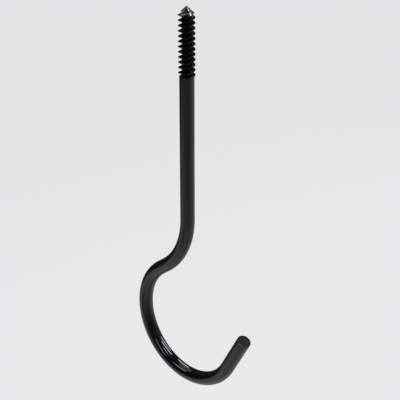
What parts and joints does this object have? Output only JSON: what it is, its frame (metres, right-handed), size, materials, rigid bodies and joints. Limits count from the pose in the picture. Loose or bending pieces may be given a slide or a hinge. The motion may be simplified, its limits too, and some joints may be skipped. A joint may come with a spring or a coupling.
{
  "type": "screw hook",
  "caption": "Long-shank black steel screw hook: round bar with a lag thread and cone point above, bent into a wide open hook below.",
  "frame": {"origin": "on the axis of the thread, at the shoulder where the thread ends and the plain shank begins, which is the face of the timber once the hook is screwed home", "axes": "+Z along the axis of the thread towards its point, up as the hook hangs from a ceiling; +X from the shank towards the open arm, in the plane of the bends; +Y square to that plane"},
  "size_m": [0.0851, 0.0091, 0.2255],
  "materials": {
    "black_coating": "gloss"
  },
  "bodies": {
    "root": {"screw_hook": "black_coating"}
  },
  "joints": []
}
